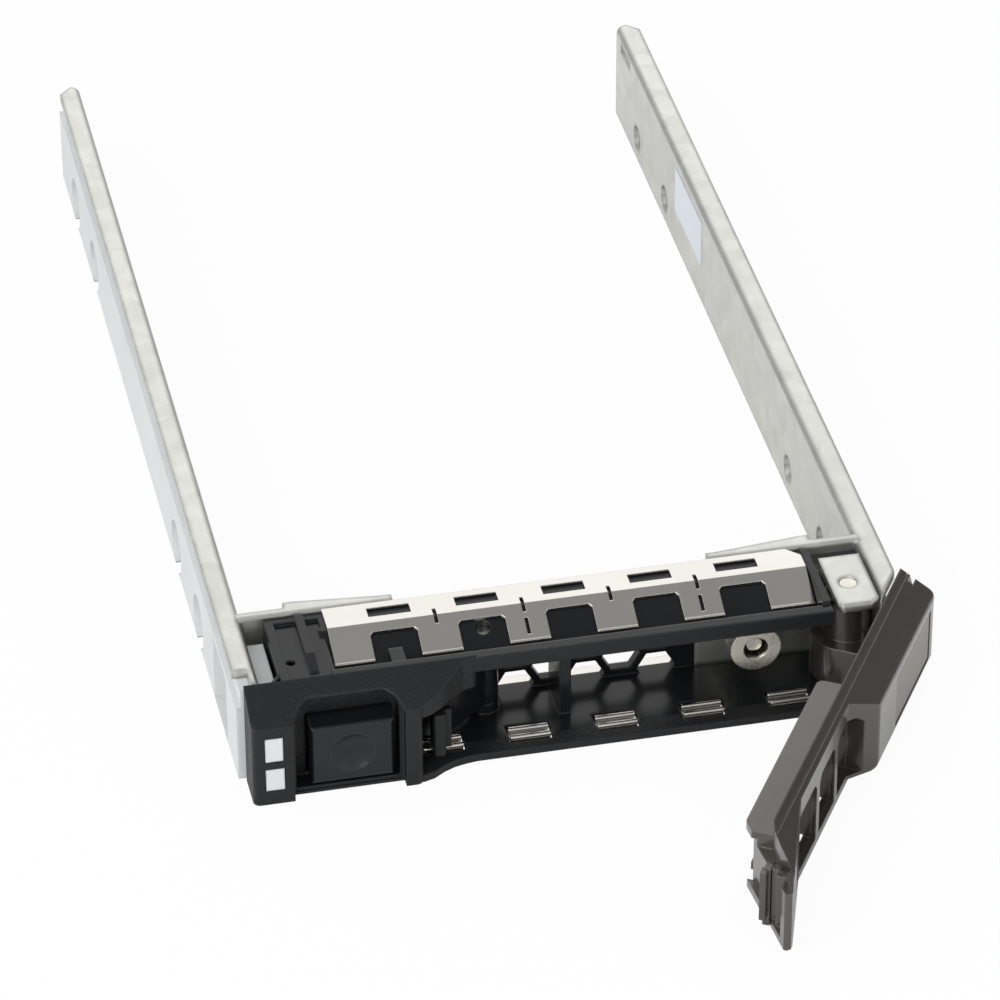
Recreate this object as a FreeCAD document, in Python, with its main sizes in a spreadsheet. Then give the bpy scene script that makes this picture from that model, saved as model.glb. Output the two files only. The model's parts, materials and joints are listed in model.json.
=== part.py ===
import FreeCAD
import Part
import Sketcher
import math
import os
import re
from FreeCAD import Vector

# Hot swap drive caddy for a 2.5 inch drive.
# X runs across the caddy, Y from the bezel to the rear of the rails, Z up.
# The origin lies on the flat of the lower spring clip, midway between the rails.

os.makedirs("parts", exist_ok=True)
doc = FreeCAD.newDocument("HotSwapCaddy")

# ---------------------------------------------------------------- sizes
SIZES = (
    # the drive the caddy holds, and the play round it
    ("DriveWidth", 69.85), ("DrivePlay", 0.175), ("ScrewHeight", 3.0), ("ScrewFirst", 14.0),
    ("ScrewPitch", 76.6), ("ScrewShift", 15.0), ("ScrewHoleR", 1.7), ("BezelBack", 4.0),
    # the inner faces of the rails, which most places across the caddy are counted from
    ("LeftFace", "=-(DriveWidth / 2 + DrivePlay)"), ("RightFace", "=DriveWidth / 2 + DrivePlay"),
    # side rails
    ("CaddyHeight", 13.0), ("Sheet", 1.0), ("FlangeWide", 1.7), ("BendR", 1.2),
    ("RailEnd", 11.9),
    ("RailRear", "=BezelBack + ScrewFirst + ScrewShift + ScrewPitch + RailEnd"), ("LeftRailFront", 7.7), ("LeftFlangeFront", 5.4),
    ("RearChamfer", 1.5), ("TabReach", 17.1), ("TabRivetIn", 10.6), ("FootFront", 44.0), ("FootRear", 90.0),
    # bezel
    ("Front", 13.0), ("SlabDepth", 4.8), ("SideStep", 1.9), ("ChamferDrop", 2.8),
    ("FloorThick", 0.9), ("FloorFront", 10.3), ("DeckDrop", 0.4), ("DeckThick", 1.0), ("BoxWall", 1.6),
    ("BoxRight", 16.5), ("BayLeft", 17.1), ("InnerLeft", 2.4), ("GrilleFront", 0.6), ("GrilleBack", 1.8),
    ("GrilleEnd", 19.5), ("BeamBack", 4.6), ("BeamDrop", 2.2), ("FloorEnd", 5.7),
    ("BackWall", 2.8), ("HexR", 2.2), ("HexPitchX", 4.05), ("HexPitchZ", 4.4), ("HexLow", 3.7),
    ("HexFirst", 26.2), ("ClipRecess", 0.35), ("SlotWide", 5.0), ("SlotFirst", 20.2), ("SlotLast", 10.4),
    ("SlotPitch", "=(RightFace - SlotLast - LeftFace - SlotFirst) / 4"), ("SlotFront", 9.0), ("SlotBack", 5.8),
    # release button
    ("ButtonLeft", 4.8), ("ButtonRight", 14.0), ("ButtonLow", 1.1), ("ButtonDrop", 4.3),
    ("ButtonFace", 12.0), ("Slip", 0.2), ("StopGap", 0.05), ("DimpleR", 2.5), ("DimpleBall", 4.2),
    ("SpringIn", 10.6), ("SpringR", 1.7), ("WireR", 0.25),
    # spring clips
    ("Foil", 0.3), ("ClipLeft", 9.0), ("ClipRight", 6.7), ("ClipBack", 3.9), ("ClipRidge", 0.2),
    ("ClipTipY", 4.2), ("ClipFall", 2.0), ("NotchWide", 5.3), ("NotchFirst", 16.2), ("NotchLast", 14.4),
    ("NotchPitch", "=(RightFace - NotchLast - LeftFace - NotchFirst) / 4"), ("NotchTop", 0.85),
    ("LowClipFront", 5.4), ("LowClipIn", 7.7), ("BarR", 0.32),
    # hinge and handle
    ("PinIn", 2.9), ("PinX", "=RightFace - PinIn"), ("PinY", 3.8), ("PinR", 1.0), ("BoreGap", 0.05),
    ("LugIn", 5.0), ("LugOut", 0.3), ("LugR", 4.3), ("OpenAngle", 58.3), ("StripBack", 4.7),
    ("StripThick", 0.8), ("CoverThick", 0.6), ("HubR", 4.1), ("HubLow", 1.3), ("HubDrop", 6.5),
    ("BarrelR", 2.6), ("SpringRoom", 2.15), ("BlockFace", 8.9), ("BlockLow", 1.6), ("BlockRound", 0.8),
    ("HandleLow", 1.0), ("HandleEnd", 4.7), ("WindowLow", 2.0), ("WindowDrop", 3.3), ("ArmLow", 2.2),
    ("ArmDrop", 2.5), ("ArmBack", 1.2), ("TipX", "=LeftFace + 20.9 - PinX"),
    # latch
    ("LatchIn", 26.1), ("LatchX", "=LeftFace + LatchIn"), ("LatchY", 1.6), ("LatchPinR", 0.8), ("LatchHubR", 1.7), ("LatchLow", 2.3),
    ("LatchDrop", 4.6),
    # collar
    ("CollarIn", 13.7), ("CollarX", "=RightFace - CollarIn"), ("CollarR", 2.9), ("CollarBore", 1.4), ("CollarFront", 5.2),
    ("RivetR", 0.9), ("BracketIn", 19.3), ("BracketFront", 0.5), ("BracketBack", 1.3),
    # light pipe on the left rail
    ("PipeStepDrop", 3.4), ("PipeDrop", 1.1), ("AccessR", 3.2),
)
sheet = doc.addObject("Spreadsheet::Sheet", "Sizes")
for row, (alias, value) in enumerate(SIZES, 1):
    sheet.set(f"A{row}", alias)
    sheet.set(f"B{row}", str(value))
    sheet.setAlias(f"B{row}", alias)
doc.recompute()


# ---------------------------------------------------------------- helpers
def bound(formula):
    """A formula of size names, written the way an expression wants it."""
    return re.sub(r"\b([A-Z]\w+)", r"Sizes.\1", str(formula))


def value_of(formula):
    """The present value of a formula of size names."""
    return float(sheet.evalExpression(bound(formula)))


def rect(x, y):
    """Corner formulas of a rectangle from its two spans."""
    return [(x[0], y[0]), (x[1], y[0]), (x[1], y[1]), (x[0], y[1])]


class Piece:
    """One PartDesign body whose sketch corners are bound to the size sheet."""

    # the sketch normal of each origin plane, and the body axis used by patterns
    PLANES = {"XY": ("XY_Plane", 1), "XZ": ("XZ_Plane", -1), "YZ": ("YZ_Plane", 1)}

    def __init__(self, node):
        self.node = node
        self.body = doc.addObject("PartDesign::Body", node + "_body")
        self.body.Label = node
        self.steps = 0

    def origin(self, role):
        return next(item for item in self.body.Origin.OriginFeatures if item.Role == role)

    def sketch(self, plane, level, loops):
        """Sketch of polygons and circles at a level along the plane's own axis."""
        role, sign = self.PLANES[plane]
        self.steps += 1
        sketch = self.body.newObject("Sketcher::SketchObject", f"{self.node}_s{self.steps}")
        sketch.AttachmentSupport = (self.origin(role), [""])
        sketch.MapMode = "FlatFace"
        sketch.setExpression("AttachmentOffset.Base.z", bound(f"{sign} * ({level})"))
        for loop in loops:
            if loop[0] == "circle":
                self.circle(sketch, *loop[1:])
            else:
                self.polygon(sketch, loop)
        return sketch

    def polygon(self, sketch, corners):
        spots = [Vector(value_of(x), value_of(y), 0) for x, y in corners]
        first = sketch.GeometryCount
        last = len(spots) - 1
        for index, spot in enumerate(spots):
            following = spots[0 if index == last else index + 1]
            sketch.addGeometry(Part.LineSegment(spot, following), False)
        for index, (x, y) in enumerate(corners):
            line = first + index
            after = first if index == last else line + 1
            sketch.addConstraint(Sketcher.Constraint("Coincident", line, 2, after, 1))
            for kind, formula, number in (("DistanceX", x, spots[index].x), ("DistanceY", y, spots[index].y)):
                rule = sketch.addConstraint(Sketcher.Constraint(kind, -1, 1, line, 1, number))
                sketch.setExpression(f"Constraints[{rule}]", bound(formula))

    def circle(self, sketch, x, y, radius):
        spot = Vector(value_of(x), value_of(y), 0)
        ring = sketch.addGeometry(Part.Circle(spot, Vector(0, 0, 1), value_of(radius)), False)
        rule = sketch.addConstraint(Sketcher.Constraint("Radius", ring, value_of(radius)))
        sketch.setExpression(f"Constraints[{rule}]", bound(radius))
        for kind, formula, number in (("DistanceX", x, spot.x), ("DistanceY", y, spot.y)):
            rule = sketch.addConstraint(Sketcher.Constraint(kind, -1, 1, ring, 3, number))
            sketch.setExpression(f"Constraints[{rule}]", bound(formula))

    def pad(self, plane, span, *loops):
        """Material between the two levels of span."""
        start = span[1] if plane == "XZ" else span[0]
        profile = self.sketch(plane, start, loops)
        feature = self.body.newObject("PartDesign::Pad", f"{self.node}_pad{self.steps}")
        return self.finish(feature, profile, span)

    def pocket(self, plane, span, *loops):
        """Removes material between the two levels of span."""
        start = span[0] if plane == "XZ" else span[1]
        profile = self.sketch(plane, start, loops)
        feature = self.body.newObject("PartDesign::Pocket", f"{self.node}_pocket{self.steps}")
        return self.finish(feature, profile, span)

    def finish(self, feature, profile, span):
        feature.Profile = profile
        feature.setExpression("Length", bound(f"({span[1]}) - ({span[0]})"))
        profile.Visibility = False
        self.body.Tip = feature
        return feature

    def repeat(self, feature, role, pitch, count):
        """Linear pattern of one feature along an origin axis."""
        self.steps += 1
        pattern = self.body.newObject("PartDesign::LinearPattern", f"{self.node}_row{self.steps}")
        pattern.Originals = [feature]
        pattern.Direction = (self.origin(role), [""])
        pattern.setExpression("Length", bound(f"{pitch} * {count - 1}"))
        pattern.Occurrences = count
        self.body.Tip = pattern
        return pattern

    def round(self, radius, chosen):
        """Fillets the edges whose two ends and length pass the chosen test."""
        doc.recompute()
        base = self.body.Tip
        names = []
        for number, edge in enumerate(base.Shape.Edges, 1):
            if len(edge.Vertexes) == 2 and chosen(edge.Vertexes[0].Point, edge.Vertexes[1].Point):
                names.append(f"Edge{number}")
        if not names:
            raise RuntimeError(f"no edge to round on {self.node}")
        self.steps += 1
        fillet = self.body.newObject("PartDesign::Fillet", f"{self.node}_round{self.steps}")
        fillet.Base = (base, names)
        fillet.setExpression("Radius", bound(radius))
        self.body.Tip = fillet
        return fillet

    def swing(self):
        """Hangs a body drawn about the hinge pin on the pin, in the open pose."""
        self.body.setExpression("Placement.Base.x", bound("PinX"))
        self.body.setExpression("Placement.Base.y", bound("-PinY"))
        self.body.Placement.Rotation = FreeCAD.Rotation(Vector(0, 0, 1), value_of("OpenAngle"))
        self.body.setExpression("Placement.Rotation.Angle", bound("OpenAngle"))


def near(value, formula, slack=0.02):
    return abs(value - value_of(formula)) < slack


def upright(a, b):
    """Whether an edge stands along Z."""
    return abs(a.x - b.x) < 0.01 and abs(a.y - b.y) < 0.01


CHAMFER = [("-Front - 1", "CaddyHeight - ChamferDrop - ChamferDrop / SlabDepth"),
           ("-Front + SlabDepth", "CaddyHeight"), ("-Front + SlabDepth", "CaddyHeight + 2"),
           ("-Front - 1", "CaddyHeight + 2")]
DECK = ("CaddyHeight - DeckDrop - DeckThick", "CaddyHeight - DeckDrop")
SLAB = ("-Front", "-Front + SlabDepth")
SLAB_THROUGH = ("-Front - 1", "-Front + SlabDepth + 0.5")
pieces = []


def across(first, last):
    """A span across the caddy, from offsets inwards of the left rail's inner face."""
    return f"LeftFace + {first}", f"LeftFace + {last}"


# ---------------------------------------------------------------- side rails
def rail(node, side):
    """Zinc-coated L-shaped rail with its front tab; side is -1 on the left, +1 on the right."""
    piece = Piece(node)
    face = "LeftFace" if side < 0 else "RightFace"
    front = "-LeftRailFront" if side < 0 else "-PinY - LugR - 3"
    outer = f"{face} + {side} * Sheet"
    flange = f"{face} + {side} * (Sheet + FlangeWide)"
    profile = [(face, "0"), (outer, "0"), (outer, "CaddyHeight - Sheet"),
               (flange, "CaddyHeight - Sheet"), (flange, "CaddyHeight"), (face, "CaddyHeight")]
    piece.pad("XZ", (front, "RailRear"), profile)
    piece.round("BendR", lambda a, b: near(a.x, face) and near(b.x, face)
                and near(a.z, "CaddyHeight") and near(b.z, "CaddyHeight"))
    # tab that carries the bezel, with its folded lip
    end = f"{face} - {side} * TabReach"
    piece.pad("XY", ("0", "CaddyHeight"),
              rect((end, f"{face} + {side} * Sheet / 2"), ("BezelBack", "BezelBack + Sheet")))
    piece.pocket("XZ", ("BezelBack - 0.5", "BezelBack + Sheet + 0.5"),
                 ["circle", f"{face} - {side} * TabRivetIn", "CaddyHeight - 3.5", "RivetR + BoreGap"])
    piece.pad("XY", ("CaddyHeight - Sheet", "CaddyHeight"),
              [(end, "BezelBack"), (f"{face} - {side} * 5", "BezelBack"),
               (f"{face} - {side} * 5", "BezelBack + 2 * Sheet"),
               (f"{face} - {side} * 6", "BezelBack + 2 * Sheet"), (end, "BezelBack + 0.9 * Sheet")])
    # rear corner of the flange
    piece.pocket("XY", ("CaddyHeight - 2 * Sheet", "CaddyHeight + 1"),
                 [(f"{flange} + {side}", "RailRear - RearChamfer - 1"),
                  (f"{flange} - {side} * RearChamfer", "RailRear + 0.01"),
                  (f"{flange} + {side}", "RailRear + 0.01")])
    # side screw holes, two sets along the rail
    for shift in ("0", "ScrewShift"):
        hole = piece.pocket("YZ", (f"{face} - 2", f"{face} + 2"),
                            ["circle", f"BezelBack + ScrewFirst + {shift}", "ScrewHeight", "ScrewHoleR"])
        piece.repeat(hole, "Y_Axis", "ScrewPitch", 2)
    return piece


left = rail("rail_left", -1)
left.pocket("XY", ("CaddyHeight - 2 * Sheet", "CaddyHeight + 1"),
            rect(("LeftFace - Sheet - FlangeWide - 1", "LeftFace - Sheet"), ("-LeftRailFront - 1", "-LeftFlangeFront")))
left.pocket("YZ", ("LeftFace - Sheet - 1", "LeftFace + 0.5"), rect(("-5.6", "2.6"), ("1.3", "CaddyHeight - 2.2")))
pieces.append(left)

right = rail("rail_right", 1)
# the front is cut back along the line of the open handle
right.pocket("XY", ("-1", "CaddyHeight + 1"),
             [("PinX - 2", "-PinY - 12"), ("PinX + 12", "-PinY - 12"),
              ("PinX + 12", "-PinY + (12 * sin(OpenAngle) - LugR) / cos(OpenAngle)"),
              ("PinX - 2", "-PinY - (2 * sin(OpenAngle) + LugR) / cos(OpenAngle)")])
right.pad("XY", ("0", "Sheet"), rect(("RightFace + Sheet / 2", "RightFace + Sheet + FlangeWide"), ("FootFront", "FootRear")))
right.pocket("XY", ("CaddyHeight - 2.5", "CaddyHeight - 1.3"),
             rect(("RightFace - 1", "RightFace + 0.5"), ("RailRear - 7.5", "RailRear - 2.5")))
pieces.append(right)

# ---------------------------------------------------------------- bezel
bezel = Piece("bezel")
# front slab first, so that its upright corners can be rounded
bezel.pad("XZ", SLAB, rect(("LeftFace - SideStep", "LeftFace + BayLeft"), ("0", "CaddyHeight")))
bezel.round("0.8", lambda a, b: upright(a, b) and near(a.y, "-Front"))
# honeycomb wall next, so that the floor and deck close its cut cells
bezel.pad("XZ", ("GrilleFront", "GrilleBack"),
          rect(("LeftFace + BoxRight", "RightFace - GrilleEnd"), ("ClipRecess + 0.1", DECK[1])))


def hexagon(x, z):
    """Corner formulas of a hexagon with points to the left and right."""
    return [(f"{x} + HexR * cos({60 * k})", f"{z} + HexR * sin({60 * k})") for k in range(6)]


FIRST = "LeftFace + HexFirst"
cells = bezel.pocket("XZ", ("GrilleFront - 0.5", "GrilleBack + 0.5"),
                     hexagon(FIRST, "HexLow"), hexagon(FIRST, "HexLow + HexPitchZ"))
bezel.repeat(cells, "X_Axis", "2 * HexPitchX", 3)
FIRST = "LeftFace + HexFirst - HexPitchX"
cells = bezel.pocket("XZ", ("GrilleFront - 0.5", "GrilleBack + 0.5"),
                     hexagon(FIRST, "HexLow - HexPitchZ / 2"), hexagon(FIRST, "HexLow + HexPitchZ / 2"),
                     hexagon(FIRST, "HexLow + 1.5 * HexPitchZ"))
bezel.repeat(cells, "X_Axis", "2 * HexPitchX", 4)
# floor, its rear ends, and the curved lip under the handle tip
bezel.pad("XY", ("0", "FloorThick"),
          rect(("LeftFace + InnerLeft", "RightFace - FloorEnd"), ("-Front + SlabDepth - 0.5", "GrilleBack")))
bezel.pad("XY", ("0", "FloorThick"),
          [(f"LeftFace + {x}", f"-Front + {y}") for x, y in
           ((16.1, 0.8), (17.1, 0.3), (18.4, 0.7), (19.7, 1.6), (21.0, 2.2), (22.2, 2.5))]
          + [("LeftFace + 23.6", "-FloorFront"), ("RightFace - FloorEnd - 1.5", "-FloorFront"),
             ("RightFace - FloorEnd", "-FloorFront + 1.5"), ("RightFace - FloorEnd", "-8"), ("LeftFace + 16.1", "-8")])
bezel.pad("XY", ("0", "FloorThick"), rect(across("InnerLeft", "BoxRight"), ("GrilleBack - 0.5", "BezelBack")))
bezel.pad("XY", ("0", "FloorThick"),
          rect(("RightFace - GrilleEnd", "RightFace - FloorEnd"), ("GrilleBack - 0.5", "BezelBack")))
bezel.pocket("XY", ("-1", "ClipRecess"),
             rect(("LeftFace + LowClipIn - 0.2", "RightFace - LowClipIn + 0.2"), ("-SlotBack", "BezelBack + 1")))
SLOT_LEFT = "LeftFace + SlotFirst - SlotWide / 2"
slots = bezel.pocket("XY", ("-1", "FloorThick + 0.1"),
                     rect((SLOT_LEFT, f"{SLOT_LEFT} + SlotWide"), ("-SlotFront", "-SlotBack")))
bezel.repeat(slots, "X_Axis", "SlotPitch", 5)
# deck under the upper clip and the left plate with its fence
bezel.pad("XY", DECK, rect(("LeftFace + 8.4", "RightFace - FloorEnd"), ("ClipRidge + 0.1", "BezelBack")))
bezel.pad("XY", (DECK[0], "CaddyHeight - 0.8"),
          rect(across("InnerLeft", "8.6"), ("-Front + SlabDepth - 0.5", "BezelBack")))
# sloping shelf under the clip's fingers, joined to the front beam
bezel.pad("YZ", ("LeftFace + ClipLeft - 0.9", "RightFace - FloorEnd"),
          [("-Front + SlabDepth - 0.1", "CaddyHeight - BeamDrop"), ("-BeamBack - 0.25", "CaddyHeight - BeamDrop"),
           ("-BeamBack - 0.25", "CaddyHeight - 3.2"), ("-BeamBack + 0.4", "CaddyHeight - 3.4"),
           ("ClipRidge + 0.2", DECK[0]), ("ClipRidge + 0.8", DECK[0]), ("ClipRidge + 0.8", DECK[1]),
           ("ClipRidge + 0.15", DECK[1]), ("-BeamBack + 0.25", "CaddyHeight - 2.5"),
           ("-BeamBack - 0.2", "CaddyHeight - 1.95"), ("-6.4", "CaddyHeight - 1.5"), ("-6.9", "CaddyHeight - 0.35"),
           ("-Front + SlabDepth - 0.1", "CaddyHeight - 0.35")])
# gusset over the latch
bezel.pad("XZ", ("-Front + SlabDepth - 0.1", "-BeamBack - 0.25"),
          [("LeftFace + BoxRight - 0.5", "CaddyHeight - 4.2"), ("LeftFace + 18.4", "CaddyHeight - 4.1"),
           ("LeftFace + 19.9", "CaddyHeight - BeamDrop"), ("LeftFace + 23.8", "CaddyHeight - BeamDrop"),
           ("LeftFace + 25.5", "CaddyHeight - BeamDrop + 0.2"), ("LeftFace + BoxRight - 0.5", "CaddyHeight - 1.9")])
# walls of the button box, the rib in the bay and the wall behind the collar and hinge
bezel.pad("XY", ("0", DECK[1]), rect(across("InnerLeft", "InnerLeft + 1"), ("-Front + SlabDepth - 0.5", "BezelBack")))
bezel.pad("XY", ("FloorThick - 0.2", DECK[1]),
          rect(across("BoxRight - BoxWall", "BoxRight"), ("-Front + SlabDepth - 0.5", "BezelBack")))
bezel.pad("XY", ("FloorThick - 0.2", DECK[1]), rect(across("InnerLeft", "BoxRight"), ("BackWall", "BezelBack")))
bezel.pad("XY", ("FloorThick - 0.2", "CaddyHeight - 3"), rect(("-1", "0.3"), ("-BeamBack - 0.4", "GrilleFront + 0.1")))
bezel.pad("XY", ("FloorThick - 0.2", DECK[0]),
          rect(("RightFace - GrilleEnd - 0.5", "RightFace - LugOut"), ("BracketBack", "BezelBack")))
bezel.pad("YZ", ("RightFace - FloorEnd - 0.9", "RightFace - FloorEnd"),
          [("-6.9", "CaddyHeight - BeamDrop"), ("0.3", "CaddyHeight - BeamDrop"), ("0.3", DECK[0]),
           ("3.6", DECK[0]), ("3.6", "CaddyHeight"), ("-6.9", "CaddyHeight")])
# wing of the front slab that runs over the handle's tip into the beam
bezel.pad("XY", ("CaddyHeight - 4.2", "CaddyHeight"),
          [(f"LeftFace + {x}", str(y)) for x, y in
           ((17.0, -12.7), (18.2, -12.2), (19.6, -11.2), (21.0, -9.9), (22.4, -8.8), (24.0, -8.2), (17.0, -8.2))])
bezel.pad("YZ", across("5.8", "6.8"),
          [("3.6", "CaddyHeight - 0.9"), ("3.6", "CaddyHeight"), ("-3.8", "CaddyHeight"),
           ("-6.6", "CaddyHeight - 0.6"), ("-6.6", "CaddyHeight - 0.9")])
# slanting stay over the light guide
bezel.pad("XY", ("CaddyHeight - 2.2", "CaddyHeight - 1.2"),
          [("LeftFace + 0.2", "-Front + SlabDepth - 0.1"), ("LeftFace + 0.9", "-Front + SlabDepth - 0.1"),
           ("LeftFace + InnerLeft + 0.1", "-5.9"), ("LeftFace + InnerLeft + 0.1", "-5.2")])
# clearance under the sloping front of the upper clip
bezel.pocket("YZ", ("LeftFace + ClipLeft - 0.3", "RightFace - ClipRight + 0.1"),
             [("ClipRidge + 0.15", DECK[1]), ("-BeamBack + 0.25", "CaddyHeight - 2.5"),
              ("-BeamBack + 0.25", "CaddyHeight + 1"), ("ClipRidge + 0.15", "CaddyHeight + 1")])
# button recess with chamfered upper corners, button window, lamp windows, latch tail opening
for depth, low_z, side in (("1.1", "-1", 2.7), ("1.5", "0.3", 2.9), ("3.8", "0.6", 3.1)):
    bezel.pocket("XZ", ("-Front - 1", f"-Front + {depth}"),
                 [(f"LeftFace + {side}", low_z), (f"LeftFace + {17.8 - side}", low_z),
                  (f"LeftFace + {17.8 - side}", "CaddyHeight - 2.9"), (f"LeftFace + {17.4 - side}", "CaddyHeight - 1.8"),
                  (f"LeftFace + {16.3 - side}", "CaddyHeight - 1.3"), (f"LeftFace + {side + 1.5}", "CaddyHeight - 1.3"),
                  (f"LeftFace + {side + 0.4}", "CaddyHeight - 1.8"), (f"LeftFace + {side}", "CaddyHeight - 2.9")])
bezel.pocket("XZ", SLAB_THROUGH,
             rect(across("ButtonLeft - Slip", "ButtonRight + Slip"), ("ButtonLow - Slip", "CaddyHeight - ButtonDrop + Slip")))
LAMPS = ((("-0.5", "1.6"), ("0.14", "0.36")), (("-0.5", "1.5"), ("0.44", "0.68")))
for (lamp_left, lamp_right), (lamp_low, lamp_high) in LAMPS:
    bezel.pocket("XZ", SLAB_THROUGH,
                 rect(across(f"{lamp_left} - 0.1", f"{lamp_right} + 0.1"),
                      (f"CaddyHeight * {lamp_low} - 0.1", f"CaddyHeight * {lamp_high} + 0.1")))
bezel.pocket("YZ", across("BoxRight - BoxWall - 0.5", "BoxRight + 0.5"),
             rect(("-5.6", "-1"), ("CaddyHeight * 0.22", "CaddyHeight * 0.55")))
bezel.pocket("YZ", ("LeftFace - SideStep - 1", "LeftFace + BayLeft + 8.5"), CHAMFER)
# boss and bore of the latch pivot, and the rivet holes
bezel.pad("XY", ("FloorThick - 0.2", "LatchLow - 0.1"), ["circle", "LatchX", "-LatchY", "1.7"])
bezel.pocket("XY", ("ClipRecess", "CaddyHeight + 1"), ["circle", "LatchX", "-LatchY", "LatchPinR + 0.02"])
bezel.pocket("XY", ("CaddyHeight - 3", "CaddyHeight + 1"), ["circle", "LeftFace + 4.1", "-4.2", "0.5"])
bezel.pocket("XZ", ("BracketBack - 0.1", "BezelBack + 1"),
             ["circle", "LeftFace + TabRivetIn", "CaddyHeight - 3.5", "RivetR + BoreGap"],
             ["circle", "RightFace - TabRivetIn", "CaddyHeight - 3.5", "RivetR + BoreGap"],
             ["circle", "CollarX", "CaddyHeight / 2", "RivetR + BoreGap"])
pieces.append(bezel)

# ---------------------------------------------------------------- spring clips
clip = Piece("shield_clip_top")
CLIP_SPAN = ("LeftFace + ClipLeft", "RightFace - ClipRight")
TIP_Z = "CaddyHeight - ClipFall"
clip.pad("YZ", CLIP_SPAN,
         [("ClipBack", "CaddyHeight - Foil"), ("ClipBack", "CaddyHeight"), ("ClipRidge", "CaddyHeight"),
          ("-ClipTipY", TIP_Z), ("-ClipTipY", f"{TIP_Z} - 0.3"), ("-ClipTipY + 0.5", f"{TIP_Z} - 0.2"),
          ("-ClipTipY + 0.6", f"{TIP_Z} - 0.05"), ("ClipRidge + 0.05", "CaddyHeight - Foil")])
NOTCH = "LeftFace + NotchFirst"
notch = clip.pocket("XY", ("CaddyHeight - ClipFall - 2", "CaddyHeight + 1"),
                    [(f"{NOTCH} - NotchWide / 2", "-ClipTipY - 1"), (f"{NOTCH} + NotchWide / 2", "-ClipTipY - 1"),
                     (f"{NOTCH} + NotchWide / 2", "-NotchTop - 0.35"), (f"{NOTCH} + NotchWide / 2 - 0.35", "-NotchTop"),
                     (f"{NOTCH} - NotchWide / 2 + 0.35", "-NotchTop"), (f"{NOTCH} - NotchWide / 2", "-NotchTop - 0.35")])
clip.repeat(notch, "X_Axis", "NotchPitch", 5)
window = clip.pocket("XY", ("CaddyHeight - 1", "CaddyHeight + 1"),
                     rect((f"{NOTCH} - NotchWide / 2 + 0.3", f"{NOTCH} + NotchWide / 2 - 0.2"), ("1.3", "2.9")))
clip.repeat(window, "X_Axis", "NotchPitch", 5)
SLIT = f"{NOTCH} + NotchPitch / 2"
slit = clip.pocket("XY", ("CaddyHeight - ClipFall - 2", "CaddyHeight + 1"),
                   rect((f"{SLIT} - 0.2", f"{SLIT} + 0.2"), ("-0.8", "1.3")))
clip.repeat(slit, "X_Axis", "NotchPitch", 4)
slit = clip.pocket("XY", ("CaddyHeight - ClipFall - 2", "CaddyHeight + 1"),
                   rect((f"{SLIT} + NotchPitch - 0.2", f"{SLIT} + NotchPitch + 0.2"), ("-3.4", "-1.5")))
clip.repeat(slit, "X_Axis", "2 * NotchPitch", 2)
clip.pocket("XY", ("CaddyHeight - 1", "CaddyHeight + 1"),
            [("RightFace - ClipRight - 1.5", "ClipBack + 0.01"), ("RightFace - ClipRight + 0.5", "ClipBack - 2"),
             ("RightFace - ClipRight + 0.5", "ClipBack + 0.01")])
pieces.append(clip)

low = Piece("shield_clip_bottom")
low.pad("XY", ("0", "Foil"), rect(("LeftFace + LowClipIn", "RightFace - LowClipIn"), ("-LowClipFront", "ClipBack")))
BAR_SPAN = (f"{SLOT_LEFT} + 0.25", f"{SLOT_LEFT} + SlotWide - 0.25")
tongue = low.pad("YZ", BAR_SPAN,
                 [("-LowClipFront + 0.3", "0"), ("-LowClipFront + 0.3", "Foil"), ("-SlotBack - 0.7", "Foil"),
                  ("-SlotBack - 0.75", "FloorThick"), ("-SlotBack - 1.05", "FloorThick"), ("-SlotBack - 1.1", "Foil"),
                  ("-SlotFront + 1.1", "Foil"), ("-SlotFront + 1.05", "FloorThick"), ("-SlotFront + 0.75", "FloorThick"),
                  ("-SlotFront + 0.7", "Foil"), ("-SlotFront + 0.2", "Foil"), ("-SlotFront + 0.2", "0")])
bars = low.pad("YZ", BAR_SPAN, ["circle", "-SlotBack - 0.9", "FloorThick", "BarR"],
               ["circle", "-SlotFront + 0.9", "FloorThick", "BarR"])
for feature in (tongue, bars):
    low.repeat(feature, "X_Axis", "SlotPitch", 5)
pieces.append(low)

# ---------------------------------------------------------------- light pipe
pipe = Piece("light_pipe")
PIPE_SPAN = ("LeftFace - Sheet - FlangeWide", "LeftFace - Sheet")
pipe.pad("YZ", PIPE_SPAN, rect(("-LeftRailFront", "RailRear"), ("0", "CaddyHeight - PipeStepDrop")))
pipe.pad("YZ", (f"{PIPE_SPAN[0]} + 0.5", PIPE_SPAN[1]),
         rect(("-LeftRailFront", "RailRear - 1"), ("CaddyHeight - PipeStepDrop - 0.1", "CaddyHeight - PipeDrop")))
pipe.pocket("YZ", (f"{PIPE_SPAN[0]} - 1", f"{PIPE_SPAN[1]} + 1"), rect(("-0.9", "7.5"), ("0.2", "CaddyHeight * 0.65")))
pipe.pad("YZ", (f"{PIPE_SPAN[1]} - 0.5", "LeftFace + 2.1"), rect(("-5.3", "2.3"), ("1.6", "CaddyHeight - 2.5")))
for (lamp_left, lamp_right), (lamp_low, lamp_high) in LAMPS:
    pipe.pad("XZ", ("-Front + 0.1", "-5"),
             rect(across(lamp_left, lamp_right), (f"CaddyHeight * {lamp_low}", f"CaddyHeight * {lamp_high}")))
pipe.pocket("XZ", ("-Front + SlabDepth", "-5.4"), rect(across("-0.95", "0.2"), ("-1", "CaddyHeight")))
for shift in ("0", "ScrewShift"):
    access = pipe.pocket("YZ", (f"{PIPE_SPAN[0]} - 1", f"{PIPE_SPAN[1]} + 0.5"),
                         ["circle", f"BezelBack + ScrewFirst + {shift}", "ScrewHeight", "AccessR"])
    pipe.repeat(access, "Y_Axis", "ScrewPitch", 2)
pieces.append(pipe)

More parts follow.
